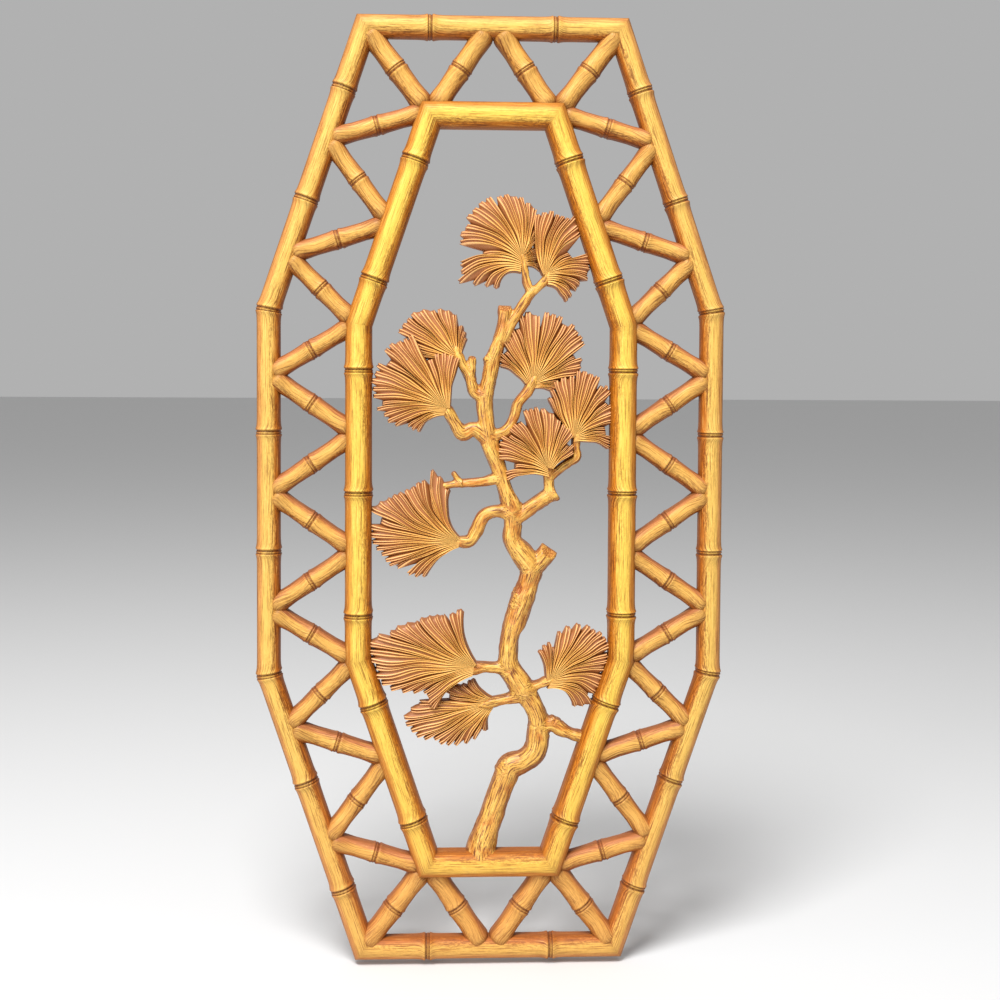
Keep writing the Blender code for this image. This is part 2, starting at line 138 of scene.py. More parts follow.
def bend_bar(bm, stations, lane, dark_side=1.0):
    """Bends a grid into a bar. A station: distance along, centre, way across, half width, depth and glaze."""
    uv = bm.loops.layers.uv.verify()
    glaze, crest, shade = (float_layer(bm, name) for name in ("glaze", "crest", "shade"))
    rings = [bar_section(half, depth) for _, _, _, half, depth, _ in stations]
    columns, rows = len(stations) - 1, len(rings[0]) - 1
    grid = bmesh.ops.create_grid(bm, x_segments=columns, y_segments=rows, size=0.5)
    faces = {face for vert in grid["verts"] for face in vert.link_faces}
    spots = {}
    for vert in grid["verts"]:
        column, row = round((vert.co.x + 0.5) * columns), round((vert.co.y + 0.5) * rows)
        along, centre, across, half, depth, stain = stations[column]
        u, w, girth = rings[column][row]
        spot = centre + across * u
        vert.co = standing(spot.x, spot.y, w)
        vert[glaze] = stain
        # crest marks the bar's front for its painted highlight, shade the flank that is painted darker as shade
        vert[crest] = max(0.0, w / depth) * (1 - abs(u / half) ** 3)
        vert[shade] = dark_side * u / half
        spots[vert] = (along, girth + lane * LANE_SHIFT)
    for face in faces:
        for loop in face.loops:
            loop[uv].uv = spots[loop.vert]


def finish_piece(bm, name, material):
    """Closes seams, points every face outwards, and makes the piece that rides with the plaque."""
    bmesh.ops.remove_doubles(bm, verts=bm.verts, dist=WELD)
    bmesh.ops.recalc_face_normals(bm, faces=bm.faces)
    for face in bm.faces:
        face.smooth = True
    for edge in bm.edges:
        edge.smooth = edge.calc_face_angle(0.0) < SHARP_ANGLE
    mesh = bpy.data.meshes.new(name)
    bm.to_mesh(mesh)
    bm.free()
    piece = bpy.data.objects.new(name, mesh)
    bpy.context.scene.collection.objects.link(piece)
    piece.data.materials.append(material)
    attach(piece, "root")
    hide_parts("plaque")
    return piece


def spaced(start, end, step):
    """Even places between two ends, both left out."""
    count = max(1, round((end - start) / step))
    return [start + (end - start) * i / count for i in range(1, count)]


def bend_rail(bm, outer, inner, depth, rings, ringed_corners):
    """Bends one bar for each side of a closed rail, sheared at its ends to the mitres."""
    corners = [(p + q) / 2 for p, q in zip(outer, inner)]
    ways = side_directions(corners)
    for i, corner in enumerate(corners):
        way, across = ways[i], inward(ways[i])
        width = (inner[i] - outer[i]).dot(across)
        length = (following(corners, i) - corner).length
        lean_start = (inner[i] - outer[i]).dot(way) / width
        lean_end = (following(inner, i) - following(outer, i)).dot(way) / width
        stops = sorted(length * (1 - s if TOWARDS_END[i] else s) for s in rings[SIDE_KINDS[i]])
        stops = [0.0] * (i in ringed_corners) + stops + [length] * ((i + 1) % len(corners) in ringed_corners)
        marks = {0.0: (0.0, MITRE_GLAZE), length: (0.0, MITRE_GLAZE)}
        for stop in stops:
            for offset, swell, stain in RING:
                if -TINY <= stop + offset * MM <= length + TINY:
                    marks[min(max(stop + offset * MM, 0.0), length)] = (swell, stain)
        for a, b in zip(sorted(marks), sorted(marks)[1:]):
            for along in spaced(a, b, RAIL_STEP):
                near = min(along, length - along)
                marks[along] = (0.0, CORNER_GLAZE * max(0.0, 1 - near / CORNER_REACH))
        stations = []
        for along in sorted(marks):
            swell, stain = marks[along]
            lean = lean_start * max(0.0, 1 - along / MITRE_REACH)
            lean += lean_end * max(0.0, 1 - (length - along) / MITRE_REACH)
            spot, size = corner + way * along, 1 + swell
            stations.append((along, spot, across + way * lean, size * width / 2, size * depth, stain))
        # The inner flank of a rail is painted darker, partly glaze and partly painted shade
        bend_bar(bm, stations, i)


def paint(red, green, blue):
    """A colour as a screen shows it, in the shader's linear values."""
    linear = [(c / 255 / 12.92) if c < 10.3 else ((c / 255 + 0.055) / 1.055) ** 2.4 for c in (red, green, blue)]
    return (*linear, 1.0)


def add_node(tree, kind, inputs=(), **settings):
    made = tree.nodes.new("ShaderNode" + kind)
    for key, value in settings.items():
        setattr(made, key, value)
    for key, value in dict(inputs).items():
        if isinstance(value, bpy.types.NodeSocket):
            tree.links.new(value, made.inputs[key])
        else:
            made.inputs[key].default_value = value
    return made


def streaks(tree, place, scale, detail=3.0, rough=0.6):
    """Noise drawn out along the grain, from 0 to 1."""
    stretched = add_node(tree, "VectorMath", {0: place, 1: scale}, operation="MULTIPLY").outputs[0]
    inputs = {"Vector": stretched, "Scale": 1.0, "Detail": detail, "Roughness": rough}
    return add_node(tree, "TexNoise", inputs).outputs[0]


def blend_of(tree, share, first, second):
    mixed = add_node(tree, "Mix", data_type="RGBA")
    for socket, value in ((mixed.inputs[0], share), (mixed.inputs[6], first), (mixed.inputs[7], second)):
        if isinstance(value, bpy.types.NodeSocket):
            tree.links.new(value, socket)
        else:
            socket.default_value = value
    return mixed.outputs[2]


def ranged(tree, value, low, high, to_low=0.0, to_high=1.0):
    """A value that runs smoothly from to_low to to_high as the given one goes from low to high."""
    inputs = {0: value, 1: low, 2: high, 3: to_low, 4: to_high}
    return add_node(tree, "MapRange", inputs, interpolation_type="SMOOTHSTEP").outputs[0]


def times(tree, a, b):
    return add_node(tree, "Math", {0: a, 1: b}, operation="MULTIPLY").outputs[0]


def vertex_value(tree, name):
    return add_node(tree, "Attribute", attribute_name=name).outputs["Fac"]


def new_paint(name):
    """A new material, with its node tree and its shader."""
    material = bpy.data.materials.new(name)
    material.use_nodes = True
    return material, material.node_tree, material.node_tree.nodes["Principled BSDF"]


def finish_paint(tree, shader, colour, fine, sheen, bump_strength, bump_depth):
    """Joins the colour to the shader, and lets the fine grain vary the roughness and the relief."""
    tree.links.new(colour, shader.inputs["Base Color"])
    tree.links.new(ranged(tree, fine, 0.3, 0.7, *sheen), shader.inputs["Roughness"])
    bump = add_node(tree, "Bump", {"Strength": bump_strength, "Distance": bump_depth, "Height": fine}).outputs[0]
    tree.links.new(bump, shader.inputs["Normal"])


PALE_STREAK, LOW_BLUSH = paint(246, 204, 120), paint(206, 122, 70)


def culm_paint(name, crown, body, outer_flank, dark_flank, fleck, stain):
    """Honey-coloured plastic grained along the culm and glazed dark in the rings. Its crown has a painted
    highlight, its dark flank painted shade that is partly glaze, its edges painted shade, and its lit flank a
    pinker tone.
    """
    material, tree, shader = new_paint(name)
    place = add_node(tree, "UVMap").outputs[0]
    glaze, crest, shade = (vertex_value(tree, layer) for layer in ("glaze", "crest", "shade"))
    fine = streaks(tree, place, (52, 1600, 0), 4.0, 0.65)
    broad = streaks(tree, place, (26, 460, 0), 3.0, 0.6)
    flecks = streaks(tree, place, (330, 1150, 0), 4.0, 0.75)
    cloud = streaks(tree, place, (38, 150, 0), 2.0, 0.5)
    wavering = add_node(tree, "Math", {0: times(tree, broad, 0.7), 1: shade}, operation="ADD").outputs[0]
    # Painted highlight on the crown, a pinker painted lit-side tone on one flank, painted shade (partly glaze) on
    # the other
    colour = blend_of(tree, ranged(tree, crest, 0.5, 0.97), body, crown)
    colour = blend_of(tree, ranged(tree, wavering, 0.05, -0.35), colour, outer_flank)
    colour = blend_of(tree, ranged(tree, wavering, 0.65, 1.15), colour, dark_flank)
    colour = blend_of(tree, ranged(tree, fine, 0.56, 0.68, 0.0, 0.5), colour, PALE_STREAK)
    off_middle = add_node(tree, "Math", {0: wavering}, operation="ABSOLUTE").outputs[0]
    edge = ranged(tree, off_middle, 0.3, 1.0, 0.55, 1.0)
    colour = blend_of(tree, times(tree, ranged(tree, fine, 0.5, 0.38), edge), colour, fleck)
    patchy = times(tree, ranged(tree, flecks, 0.54, 0.44, 0.0, 0.7), ranged(tree, cloud, 0.64, 0.42, 0.2, 1.0))
    patchy = times(tree, patchy, ranged(tree, wavering, 0.3, 1.0, 0.28, 1.0))
    colour = blend_of(tree, patchy, colour, fleck)
    # Painted shade: darker towards the side walls, where the bar turns away from the front
    colour = blend_of(tree, ranged(tree, crest, 0.42, 0.1, 0.0, 0.5), colour, fleck)
    height = add_node(tree, "SeparateXYZ", {0: add_node(tree, "TexCoord").outputs["Object"]}).outputs[2]
    colour = blend_of(tree, ranged(tree, height, -0.4, -0.54, 0.0, 0.2), colour, LOW_BLUSH)
    stained = times(tree, glaze, ranged(tree, flecks, 0.35, 0.62, 1.0, 0.6))
    colour = blend_of(tree, stained, colour, stain)
    finish_paint(tree, shader, colour, fine, (0.55, 0.42), 0.5, 0.3 * MM)
    shader.inputs["Specular IOR Level"].default_value = 0.22
    return material


outer_paint = culm_paint(
    "outer_culm_paint", crown=paint(220, 176, 87), body=paint(211, 158, 70), outer_flank=paint(198, 136, 72),
    dark_flank=paint(180, 102, 28), fleck=paint(104, 50, 6), stain=paint(92, 40, 4),
)
bm = bmesh.new()
bend_rail(bm, outline, outer_edge_inside, OUTER_DEPTH, OUTER_RINGS, SIDE_CORNERS)
outer_rail = finish_piece(bm, "outer_rail", outer_paint)

# Two blind pockets behind the top rail for nail heads
POCKET_WIDTH, POCKET_LENGTH, POCKET_DEPTH, POCKET_OFFSET = 6.0 * MM, 13.0 * MM, 3.5 * MM, 22.0 * MM
POCKET_SEGMENTS = 28
bm = bmesh.new()
for side in (-1, 1):
    bmesh.ops.create_cone(
        bm, cap_ends=True, segments=POCKET_SEGMENTS, radius1=POCKET_WIDTH / 2, radius2=POCKET_WIDTH / 2,
        depth=2 * POCKET_DEPTH,
        matrix=Matrix.Translation((side * POCKET_OFFSET, 0, 0)) @ Matrix.Rotation(math.pi / 2, 4, "X"),
    )
for vert in bm.verts:
    outwards = math.copysign((POCKET_LENGTH - POCKET_WIDTH) / 2, abs(vert.co.x) - POCKET_OFFSET)
    vert.co.x += outwards * math.copysign(1, vert.co.x)
cutter = bpy.data.objects.new("cutter", bpy.data.meshes.new("cutter"))
bm.to_mesh(cutter.data)
bm.free()
bpy.context.scene.collection.objects.link(cutter)
pockets = outer_rail.modifiers.new("pockets", "BOOLEAN")
pockets.object = cutter
pockets.operation = "DIFFERENCE"
pockets.solver = "EXACT"
carved = bpy.data.meshes.new_from_object(outer_rail.evaluated_get(bpy.context.evaluated_depsgraph_get()))
outer_rail.modifiers.clear()
outer_rail.data = carved
bpy.data.objects.remove(cutter, do_unlink=True)


# Inner rail
# A stouter bamboo rail round the opening, ringed on its slants and long sides and plain at its two short ends.
# It is part of the same moulding and stands proud of the braces and the outer rail.

BAND, END_BAND = 68.9 * MM, 67.2 * MM
INNER_WIDTH, INNER_DEPTH = 16.0 * MM, 14.5 * MM
INNER_RINGS = {"end": (), "slant": (0.215, 0.785), "side": (0.135, 0.5, 0.865)}
bands = [END_BAND if kind == "end" else BAND for kind in SIDE_KINDS]
inner_edge_outside = inset(outline, [band - INNER_WIDTH for band in bands])
opening = inset(outline, bands)

inner_paint = culm_paint(
    "inner_culm_paint", crown=paint(231, 189, 80), body=paint(223, 169, 64), outer_flank=paint(192, 124, 46),
    dark_flank=paint(188, 110, 18), fleck=paint(110, 54, 4), stain=paint(92, 40, 2),
)
bm = bmesh.new()
bend_rail(bm, inner_edge_outside, opening, INNER_DEPTH, INNER_RINGS, ())
finish_piece(bm, "inner_rail", inner_paint)


# Braces
# Thirty-six short bamboo struts in a zigzag between the rails, each with one ring at its middle and rounded,
# swollen ends that die into the rails' flanks. Brown glaze has stayed in the creases where they meet.

BRACE_WIDTH, END_BRACE_WIDTH, BRACE_DEPTH = 11.2 * MM, 12.6 * MM, 9.0 * MM
# The backs of braces, limbs and fans lie a little in front of the rails' back, each brace and each fan a little
# further than the one before, so that no two faces share a plane
BACK_STEP, BRACES_A_STEP, FANS_A_STEP = 0.3 * MM, 20, 8
HEAD_SINK, FOOT_SINK, HEAD_RISE, HEAD_REACH = 5.4 * MM, 4.0 * MM, 0.17, 14 * MM
BRACE_STEP, RING_END = 3.0 * MM, 8
SPREAD, END_SPREAD, CORNER_SPREAD, END_CORNER_SPREAD = 4.3 * MM, 7.5 * MM, 8.0 * MM, 10.5 * MM
FEET = {"end": (0.0, 1.0), "slant": (0.0, 0.536, 1.0), "side": (0.0, 0.327, 0.673, 1.0)}
HEADS = {"end": (0.5,), "slant": (0.283, 0.803), "side": (0.156, 0.5, 0.844)}

# A brace's head and foot by distance from the tip in millimetres, share of the full size, and glaze
BRACE_HEAD = (
    (0.0, 0.72, 0.6), (0.5, 0.84, 0.6), (1.3, 0.95, 0.6), (2.6, 1.04, 0.5), (4.5, 1.07, 0.34), (7.0, 1.04, 0.26),
    (9.5, 1.02, 0.2), (12.0, 0.99, 0.1), (15.0, 0.975, 0.0),
)
BRACE_FOOT = (
    (0.0, 0.8, 0.8), (1.0, 0.92, 0.75), (2.0, 1.0, 0.7), (3.2, 1.06, 0.6), (4.5, 1.08, 0.45), (5.8, 1.07, 0.3),
    (7.2, 1.05, 0.2), (9.0, 1.02, 0.14), (11.0, 1.0, 0.1), (13.5, 0.975, 0.03),
)


def side_point(corners, i, share):
    """A point on a side, at a share of its length measured from the narrow end of the plaque."""
    if TOWARDS_END[i]:
        share = 1 - share
    return corners[i].lerp(following(corners, i), share)


def foot_spread(kind, share):
    """How far a brace's foot stands from its knuckle, more where three braces share a corner."""
    if kind == "end":
        return END_CORNER_SPREAD
    return CORNER_SPREAD if kind == "slant" and share == 0.0 else SPREAD


def brace_lines():
    """Every brace as a width, its head on the outer rail and its foot on the inner one."""
    ways = side_directions(outline)
    for i, kind in enumerate(SIDE_KINDS):
        width = END_BRACE_WIDTH if kind == "end" else BRACE_WIDTH
        head_spread = END_SPREAD if kind == "end" else SPREAD
        for k, head_share in enumerate(HEADS[kind]):
            level = side_point(inner_edge_outside, i, head_share) - outer_edge_inside[i]
            head = outer_edge_inside[i] + ways[i] * level.dot(ways[i])
            for foot_share in FEET[kind][k:k + 2]:
                foot = side_point(inner_edge_outside, i, foot_share)
                turn = math.copysign(1, (head - foot).dot(ways[i]))
                foot = foot + ways[i] * turn * foot_spread(kind, foot_share)
                yield width, head - ways[i] * turn * head_spread, foot
        if i not in SIDE_CORNERS:
            yield END_BRACE_WIDTH, outer_edge_inside[i], inner_edge_outside[i]


def bend_brace(bm, width, head, foot, lane):
    way = (foot - head).normalized()
    start = head - way * HEAD_SINK
    length = (foot - head).length + HEAD_SINK + FOOT_SINK
    ring = [(offset * MM, 1 + swell, stain) for offset, swell, stain in RING if abs(offset) < RING_END]
    marks = {length / 2 + offset: (size, stain) for offset, size, stain in ring}
    marks.update({offset * MM: (size, stain) for offset, size, stain in BRACE_HEAD})
    marks.update({length - offset * MM: (size, stain) for offset, size, stain in BRACE_FOOT})
    for a, b in zip(sorted(marks), sorted(marks)[1:]):
        for along in spaced(a, b, BRACE_STEP):
            share = (along - a) / (b - a)
            marks[along] = tuple(p + (q - p) * share for p, q in zip(marks[a], marks[b]))
    stations = []
    for along in sorted(marks):
        size, stain = marks[along]
        rise = 1 + HEAD_RISE * max(0.0, 1 - along / HEAD_REACH)
        depth = size * rise * BRACE_DEPTH
        stations.append((along, start + way * along, inward(way), size * width / 2, depth, stain))
    # The lower flank of a brace is painted in shade, and its upper flank gets a pinker painted lit-side tone
    bend_bar(bm, stations, lane, -inward(way).y)


brace_paint = culm_paint(
    "brace_paint", crown=paint(217, 165, 82), body=paint(204, 144, 65), outer_flank=paint(182, 114, 68),
    dark_flank=paint(160, 82, 16), fleck=paint(92, 42, 6), stain=paint(104, 48, 14),
)
bm = bmesh.new()
for lane, (width, head, foot) in enumerate(brace_lines()):
    done = len(bm.verts)
    bend_brace(bm, width, head, foot, lane)
    bmesh.ops.translate(bm, vec=(0, -BACK_STEP * (1 + lane / BRACES_A_STEP), 0), verts=bm.verts[:][done:])
bmesh.ops.remove_doubles(bm, verts=bm.verts, dist=WELD)
bmesh.ops.holes_fill(bm, edges=bm.edges, sides=0)
finish_piece(bm, "braces", brace_paint)


# Trunk and limbs
# A crooked pine trunk that grows from the bottom rail and forks into thin limbs, carved with knots and stubs.
# It is half-round in front and flat behind, yellower than the rest, with brown specks left in its hollows.
# Painted shade darkens its flanks that face down and right and its edges, and its upper flanks have a pinker
# painted lit-side tone.

DRAWN_HALF_WIDTH, DRAWN_HALF_HEIGHT, DRAWN_MIDDLE = 71.8, 218.3, (-1.3, 3.1)
LIMB_BASE, LIMB_ROUNDNESS, LIMB_STOCK = 5.0 * MM, 0.8, 2.0 * MM
CURVE_STEPS, LIMB_SHIFT = 5, 0.31
SKIN_VOXEL, SKIN_SMOOTHING, SKIN_PASSES = 0.75 * MM, 0.6, 4
# A limb's points in the drawing, in its millimetres: across, up, and half the limb's width
LIMBS = {
    "trunk": (
        (-3, -226, 11), (-3, -219, 9), (1, -206, 7.3), (6.2, -190, 7), (11, -177.5, 7.2), (14, -170.4, 7.6),
        (22.6, -167.2, 6.8), (29.4, -160.6, 7), (31, -151, 7), (30.5, -140, 5.8), (26, -130, 6.3), (20, -121, 7.5),
        (13, -109, 6.2), (12.5, -100, 5.6), (13.5, -91, 5.7), (17, -80, 6.6), (21, -68, 7.2), (24.5, -58, 6.2),
        (26.2, -49, 7), (20.6, -40.5, 7), (14.6, -32, 5.6), (14.9, -22, 5.3), (14, -12, 6.2), (10.5, -3, 4.6),
        (7, 9, 4.6), (3, 20, 5.2), (0, 29, 5.4), (-2, 42, 4.7), (-2.5, 54, 5), (0.5, 68, 4.3), (2, 77, 4.6),
        (5.5, 87, 3.9), (8, 97, 3.5), (9, 104, 3.7), (9.3, 110, 4),
    ),
    "knot_stub": ((26, -50, 6.4), (33, -43, 5.6), (37.5, -37, 5.6)),
    "crown_twig": ((8, 88, 3.2), (13, 99, 3.3), (18.6, 108.4, 2.9), (24, 116.2, 3.1), (26.5, 119.5, 2.8)),
    "crown_left_stem": ((26, 118.5, 2.6), (22.8, 122.5, 2.2), (21.2, 130, 2), (20.2, 136, 1.9), (19.3, 141, 1.4)),
    "crown_right_stem": (
        (26.5, 118.5, 2.8), (29.4, 121.2, 2.5), (33.8, 125.4, 2.8), (35.2, 129.5, 2.6), (36, 134, 1),
    ),
    "shoulder_left_limb": (
        (-3, 56, 4), (-9, 58, 3.6), (-12, 68, 3.2), (-16, 74, 2.8), (-18.5, 80, 2.6), (-21, 85, 1),
    ),
    "shoulder_spur": ((-11, 66, 2.6), (-10, 79, 2)),
    "upper_left_limb": (
        (-2, 30, 4.5), (-9, 35.5, 4.2), (-16, 33, 4.6), (-21, 39, 3.4), (-25, 46, 3.4), (-28.5, 51, 1.4),
    ),
    "upper_right_limb": (
        (1, 31, 3.6), (10, 34, 3.4), (15, 42, 2.9), (17.5, 51, 3), (23, 58, 3), (26, 63, 3), (28, 68, 1),
    ),
    "thin_left_twig": ((6, 6, 3.4), (-3, 3.5, 2.7), (-15, 2.5, 2.6), (-28, 1, 1.8)),
    "thin_left_spur": ((-17, 2.5, 2), (-22, 9, 1.4)),
    "middle_left_limb": (
        (15, -16, 4.6), (5, -14.5, 3.8), (-3, -17.5, 4), (-7, -26, 3.9), (-11, -32.5, 3.8), (-17, -33, 3.4),
        (-24, -32, 1.2),
    ),
    "middle_right_limb": ((15, -20, 4.8), (25, -12.5, 4.3), (35, -6, 4.6), (41, -3, 4.6)),
    "middle_right_stem": ((37, -6, 3.6), (36.5, 3, 2.9), (35.5, 11.5, 3), (34.5, 17.5, 1)),
    "far_right_stem": (
        (37, 6, 2.6), (45, 13, 2.4), (53, 18.5, 2.6), (52.5, 24, 2.2), (53, 31, 2.6), (55, 36.5, 1),
    ),
    "lower_left_limb": (
        (13, -110.5, 4.6), (4, -109.8, 3.2), (-3, -109.6, 3.4), (-9, -110.2, 4), (-16, -110.5, 1.4),
    ),
    "lowest_left_limb": ((24, -126, 5), (13, -129, 3.4), (6, -130.5, 3.2), (1, -131.5, 3.2), (-6, -133, 1.2)),
    "lower_right_limb": ((23, -123, 4.2), (31, -120.5, 2.7), (38, -117.5, 2.8), (43, -114, 1)),
    "shoulder_knob": ((1, 77, 3.2), (-2.4, 79.4, 2.2)),
    "middle_knob": ((18, -70, 4.5), (14.6, -67.5, 3)),
    "bend_knob": ((11, -172, 5.5), (6.4, -168.6, 3.8)),
    "stay_knob": ((40, -144, 4), (42, -140.6, 3)),
    "right_stay": ((31, -145, 4.6), (39, -144.5, 4.4), (45, -147.8, 4.2), (51, -151, 3.4), (63, -154.4, 3.4)),
}
# How far a limb's far end stands up to meet its fan, in millimetres
RISES = {
    "crown_left_stem": 0.8, "crown_right_stem": 2.2, "shoulder_left_limb": 0.8, "upper_left_limb": 3.0,
    "upper_right_limb": 0.8, "middle_left_limb": 1.4, "middle_right_stem": 3.2, "far_right_stem": 2.0,
    "lower_left_limb": 3.4, "lowest_left_limb": 1.0, "lower_right_limb": 2.2,
}
x_scale = opening[2].x / DRAWN_HALF_WIDTH
y_scale = opening[0].y / DRAWN_HALF_HEIGHT


def drawn(x, y):
    return Vector(((x + DRAWN_MIDDLE[0]) * x_scale, (y + DRAWN_MIDDLE[1]) * y_scale))


def curve_through(points, steps):
    """Rounds a row of points into a smooth line with that many steps between neighbours."""
    padded = [points[0], *points, points[-1]]
    line = []
    for a, b, c, d in zip(padded, padded[1:], padded[2:], padded[3:]):
        for k in range(steps):
            t = k / steps
            squared = (2 * a - 5 * b + 4 * c - d) * t * t
            cubed = (3 * b - a - 3 * c + d) * t ** 3
            line.append(0.5 * (2 * b + (c - a) * t + squared + cubed))
    return line + [points[-1]]


def bend_limb(bm, samples, points, lane, rise):
    """Adds one limb as a bar that runs behind the back plane, and notes its centre line."""
    line = curve_through([Vector((*drawn(x, y), half * x_scale)) for x, y, half in points], CURVE_STEPS)
    along = 0.0
    stations = []
    for i, spot in enumerate(line):
        before, after = line[max(i - 1, 0)].xy, line[min(i + 1, len(line) - 1)].xy
        along += (spot.xy - before).length
        across = inward((after - before).normalized())
        depth = LIMB_BASE + LIMB_ROUNDNESS * spot.z + LIMB_STOCK + rise * MM * (i / (len(line) - 1)) ** 2
        stations.append((along, spot.xy.copy(), across, spot.z, depth, 0.0))
        samples.append((spot.xy.copy(), across, along + LIMB_SHIFT * lane))
    bend_bar(bm, stations, lane)


# Sawn ends: the limb, a point on the cut in the drawing, the way it looks there, and how far it turns forwards.
# What lies near a cut's plane and point and looks its way is dished and glazed.
CUT_LEVEL, CUT_THICKNESS, CUT_REACH, CUT_LIKENESS = LIMB_BASE + 1.5 * MM, 1.2 * MM, 8 * MM, 0.8
DISH_RADIUS, DISH_DEPTH, DISH_GLAZE, RIM_GLAZE_LOSS = 4.5 * MM, 0.7, 0.75, 0.6
CUTS = {
    "trunk": ((9.2, 107.6), (0.05, 1.0), 0.5),
    "knot_stub": ((36.2, -39.2), (0.6, 0.8), 0.75),
    "shoulder_spur": ((-10, 78), (0.1, 1.0), 0.5),
}
bm = bmesh.new()
samples = []
cut_planes = []
for lane, (name, points) in enumerate(LIMBS.items()):
    one = bmesh.new()
    bend_limb(one, samples, points, lane, RISES.get(name, 0.0))
    bmesh.ops.translate(one, vec=(0, LIMB_STOCK, 0), verts=one.verts)
    bmesh.ops.remove_doubles(one, verts=one.verts, dist=WELD)
    bmesh.ops.holes_fill(one, edges=one.edges, sides=0)
    if name in CUTS:
        place, way, turn = CUTS[name]
        spot = drawn(*place)
        spot = standing(spot.x, spot.y, CUT_LEVEL)
        facing = Vector((way[0], -turn, way[1])).normalized()
        bmesh.ops.bisect_plane(
            one, geom=one.verts[:] + one.edges[:] + one.faces[:], plane_co=spot, plane_no=facing,
            clear_outer=True,
        )
        bmesh.ops.holes_fill(one, edges=one.edges, sides=0)
        cut_planes.append((spot, facing))
    bmesh.ops.recalc_face_normals(one, faces=one.faces)
    limb_mesh = bpy.data.meshes.new("limb")
    one.to_mesh(limb_mesh)
    one.free()
    bm.from_mesh(limb_mesh)
    bpy.data.meshes.remove(limb_mesh)
rough_tree = bpy.data.objects.new("rough_tree", bpy.data.meshes.new("rough_tree"))
bm.to_mesh(rough_tree.data)
bm.free()
bpy.context.scene.collection.objects.link(rough_tree)
remesh = rough_tree.modifiers.new("one_skin", "REMESH")
remesh.mode = "VOXEL"
remesh.voxel_size = SKIN_VOXEL
settle = rough_tree.modifiers.new("settle", "SMOOTH")
settle.factor = SKIN_SMOOTHING
settle.iterations = SKIN_PASSES
skin = bpy.data.meshes.new_from_object(rough_tree.evaluated_get(bpy.context.evaluated_depsgraph_get()))
bpy.data.objects.remove(rough_tree, do_unlink=True)

tree_lines = kdtree.KDTree(len(samples))
for index, (centre, _, _) in enumerate(samples):
    tree_lines.insert((*centre, 0), index)
tree_lines.balance()
bm = bmesh.new()
bm.from_mesh(skin)
cut = bmesh.ops.bisect_plane(
    bm, geom=bm.verts[:] + bm.edges[:] + bm.faces[:], plane_co=(0, -BACK_STEP, 0), plane_no=(0, 1, 0),
    clear_outer=True,
)
bmesh.ops.holes_fill(bm, edges=[e for e in cut["geom_cut"] if isinstance(e, bmesh.types.BMEdge)], sides=0)

# An old wound in the bark, and the lumps and facets that are carved all over the front
WOUND_RADIUS, WOUND_SLIMNESS, WOUND_DEPTH = 3.6 * MM, 0.55, 0.9 * MM
WOUND_BEFORE, CARVED_BEFORE = -2 * MM, -1 * MM
LUMP_SCALE, FACET_SCALE, LUMP_HEIGHT, FACET_HEIGHT = (95, 190, 7), (260, 420, 3), 0.8, 0.4
HOLLOW_GLAZE, WOUND_GLAZE = 0.7, 1.0
wound = drawn(18.3, -61)


def carving(where, along_scale, across_scale, shift):
    """Noise drawn out along a limb."""
    return noise.noise(Vector((where.x * along_scale, where.y * across_scale, where.z * across_scale + shift)))


grain = bm.verts.layers.float_vector.new("grain")
crest, glaze, under = (float_layer(bm, name) for name in ("crest", "glaze", "under"))
bm.normal_update()
for vert in bm.verts:
    flat = Vector((vert.co.x, vert.co.z + HALF_HEIGHT - OUTER_WIDTH / 2))
    _, index, _ = tree_lines.find((*flat, 0))
    centre, across, along = samples[index]
    away = flat - centre
    where = Vector((along - away.dot(inward(across)), away.dot(across), -vert.co.y))
    vert[grain] = where
    # crest says how much the surface faces the front and under how much it faces down and right, for painted shade
    vert[crest] = max(0.0, -vert.normal.y)
    vert[under] = vert.normal.x * 0.5 - vert.normal.z
    lumps, facets = carving(where, *LUMP_SCALE), carving(where, *FACET_SCALE)
    vert[glaze] = min(HOLLOW_GLAZE, max(0.0, -1.6 * lumps - 0.7 * facets - 0.25))
    sore = Vector(((flat.x - wound.x) / WOUND_SLIMNESS, flat.y - wound.y)).length / WOUND_RADIUS
    if sore < 1 and vert.co.y < WOUND_BEFORE:
        vert[glaze] = WOUND_GLAZE
        vert.co.y += WOUND_DEPTH * (1 - sore ** 2)
    if vert.co.y < CARVED_BEFORE:
        vert.co += vert.normal * (LUMP_HEIGHT * lumps + FACET_HEIGHT * facets) * MM
    for spot, facing in cut_planes:
        height, distance = (vert.co - spot).dot(facing), (vert.co - spot).length
        if abs(height) < CUT_THICKNESS and distance < CUT_REACH and vert.normal.dot(facing) > CUT_LIKENESS:
            near_rim = min(1.0, (vert.co - spot - facing * height).length / DISH_RADIUS)
            vert.co -= facing * DISH_DEPTH * MM * (1 - near_rim ** 2)
            vert[glaze] = DISH_GLAZE - RIM_GLAZE_LOSS * near_rim

trunk_paint, tree, shader = new_paint("trunk_paint")
place = add_node(tree, "Attribute", attribute_name="grain").outputs["Vector"]
hollow, front, facing_from_light = (vertex_value(tree, layer) for layer in ("glaze", "crest", "under"))
fine = streaks(tree, place, (80, 1400, 1400), 4.0, 0.65)
specks = streaks(tree, place, (520, 1200, 1200), 4.0, 0.75)
cloud = streaks(tree, place, (60, 200, 200), 2.0, 0.5)
colour = blend_of(tree, ranged(tree, cloud, 0.38, 0.62), paint(206, 148, 60), paint(218, 168, 74))
